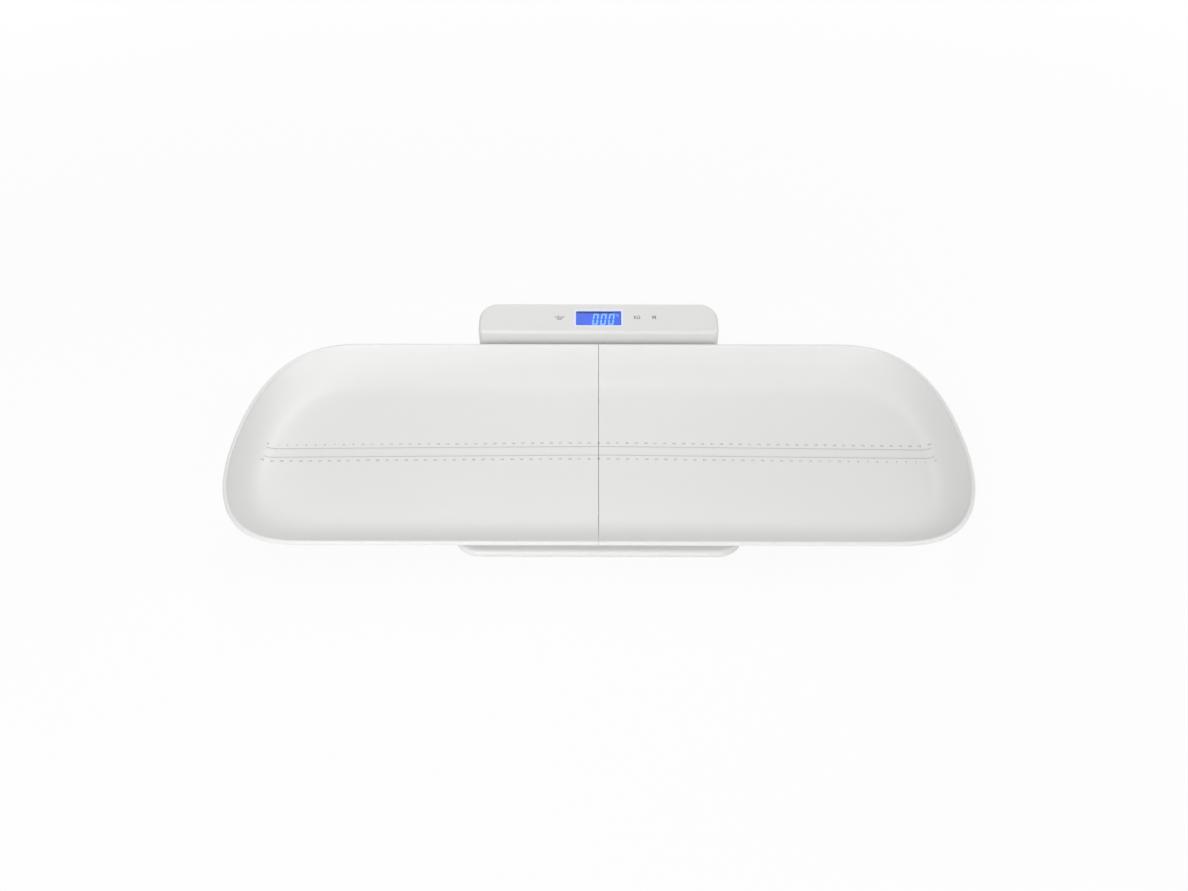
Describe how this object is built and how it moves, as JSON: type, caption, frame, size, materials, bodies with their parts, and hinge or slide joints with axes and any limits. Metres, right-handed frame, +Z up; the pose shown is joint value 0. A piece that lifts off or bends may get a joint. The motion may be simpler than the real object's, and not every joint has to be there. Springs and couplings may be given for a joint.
{
  "type": "smart baby scale",
  "caption": "Baby scale with a long shallow tray in two slide-off parts, a thin round-nosed platform on feet and a raised rear console with a lit display and flush keys.",
  "frame": {"origin": "middle of the scale's footprint, on the table", "axes": "+X along the tray, +Y back to the display console, +Z up"},
  "size_m": [0.75, 0.3656, 0.0822],
  "materials": {
    "white_plastic": "glossy moulded white plastic",
    "inner_plastic": "plain moulded plastic",
    "key_plastic": "glossy white plastic with printed marks",
    "window_plastic": "clear polished plastic",
    "display_glass": "blue liquid crystal glass, lit from behind",
    "backlight": "blue diffuser",
    "grey_rubber": "matt",
    "conductive_rubber": "matt",
    "board_laminate": "solder mask",
    "black_plastic": "moulded",
    "cable_sleeve": "satin sleeve",
    "steel": "stamped, zinc plated",
    "tinned_metal": "tinned",
    "battery_sleeve": "plain printed sleeve"
  },
  "bodies": {
    "base": {"battery_1": "battery_sleeve", "battery_2": "battery_sleeve", "battery_3": "battery_sleeve", "battery_box": "inner_plastic", "board_screw_left": "steel", "board_screw_right": "steel", "circuit_board": "board_laminate", "console_cover": "white_plastic", "contact_front_pair": "tinned_metal", "contact_front_single": "tinned_metal", "contact_rear_pair": "tinned_metal", "contact_rear_single": "tinned_metal", "contact_strip_front": "conductive_rubber", "contact_strip_rear": "conductive_rubber", "controller_chip": "black_plastic", "deck_pad_front": "grey_rubber", "deck_pad_rear": "grey_rubber", "display_backlight": "backlight", "display_frame": "black_plastic", "display_glass": "display_glass", "display_window": "window_plastic", "foot_cup_front_left": "inner_plastic", "foot_cup_front_right": "inner_plastic", "foot_cup_rear_left": "inner_plastic", "foot_cup_rear_right": "inner_plastic", "foot_pad_front_left": "grey_rubber", "foot_pad_front_right": "grey_rubber", "foot_pad_rear_left": "grey_rubber", "foot_pad_rear_right": "grey_rubber", "housing_screw_front_left": "steel", "housing_screw_front_right": "steel", "housing_screw_rear_left": "steel", "housing_screw_rear_right": "steel", "lead_connector": "inner_plastic", "load_cell_front_left": "steel", "load_cell_front_right": "steel", "load_cell_holder_front_left": "inner_plastic", "load_cell_holder_front_right": "inner_plastic", "load_cell_holder_rear_left": "inner_plastic", "load_cell_holder_rear_right": "inner_plastic", "load_cell_rear_left": "steel", "load_cell_rear_right": "steel", "lower_housing": "white_plastic", "platform_cover": "white_plastic", "switch_body_hold": "steel", "switch_body_tare": "steel", "switch_body_unit": "steel", "wireless_module": "tinned_metal", "wiring_harness": "cable_sleeve"},
    "tray_left": {"tray_left": "white_plastic"},
    "tray_right": {"tray_right": "white_plastic"},
    "tare_key": {"key_tare": "key_plastic", "switch_plunger_tare": "black_plastic"},
    "unit_key": {"key_unit": "key_plastic", "switch_plunger_unit": "black_plastic"},
    "hold_key": {"key_hold": "key_plastic", "switch_plunger_hold": "black_plastic"},
    "battery_door": {"battery_door": "white_plastic"}
  },
  "joints": [
    {"name": "tray_left_slide", "type": "slide", "parent": "base", "child": "tray_left", "axis": [-1, 0, 0], "range_m": [0, 0.16]},
    {"name": "tray_right_slide", "type": "slide", "parent": "base", "child": "tray_right", "axis": [1, 0, 0], "range_m": [0, 0.16]},
    {"name": "tare_key_press", "type": "slide", "parent": "base", "child": "tare_key", "axis": [0, 0.342, -0.9397], "range_m": [0, 0.0006], "stiffness_N_per_m": 1500, "springref_m": -0.0003},
    {"name": "unit_key_press", "type": "slide", "parent": "base", "child": "unit_key", "axis": [0, 0.342, -0.9397], "range_m": [0, 0.0006], "stiffness_N_per_m": 1500, "springref_m": -0.0003},
    {"name": "hold_key_press", "type": "slide", "parent": "base", "child": "hold_key", "axis": [0, 0.342, -0.9397], "range_m": [0, 0.0006], "stiffness_N_per_m": 1500, "springref_m": -0.0003},
    {"name": "battery_door_hinge", "type": "hinge", "parent": "base", "child": "battery_door", "pos_m": [0, 0.0013, 0.0065], "axis": [1, 0, 0], "range_deg": [0, 90]}
  ]
}
